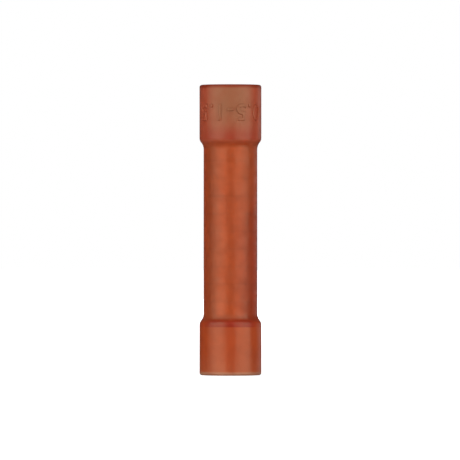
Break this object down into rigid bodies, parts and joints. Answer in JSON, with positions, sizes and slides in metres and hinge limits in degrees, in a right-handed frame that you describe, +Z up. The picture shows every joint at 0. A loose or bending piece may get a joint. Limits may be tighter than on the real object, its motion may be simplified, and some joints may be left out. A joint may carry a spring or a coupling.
{
  "type": "butt splice connector",
  "caption": "Insulated butt splice: a translucent red nylon sleeve, belled at its ends, round a plated crimp barrel that joins stripped wires end to end.",
  "frame": {"origin": "centre of the lower bell's rim, on the surface that the part stands on", "axes": "+Z up along the wire axis, from the lower bell to the upper bell; +X and +Y are any two directions across it"},
  "size_m": [0.0056, 0.0056, 0.026],
  "materials": {
    "nylon": "translucent red nylon with a satin moulded surface",
    "plated_copper": null
  },
  "bodies": {
    "root": {"insulating_sleeve": "nylon", "crimp_barrel": "plated_copper"}
  },
  "joints": []
}
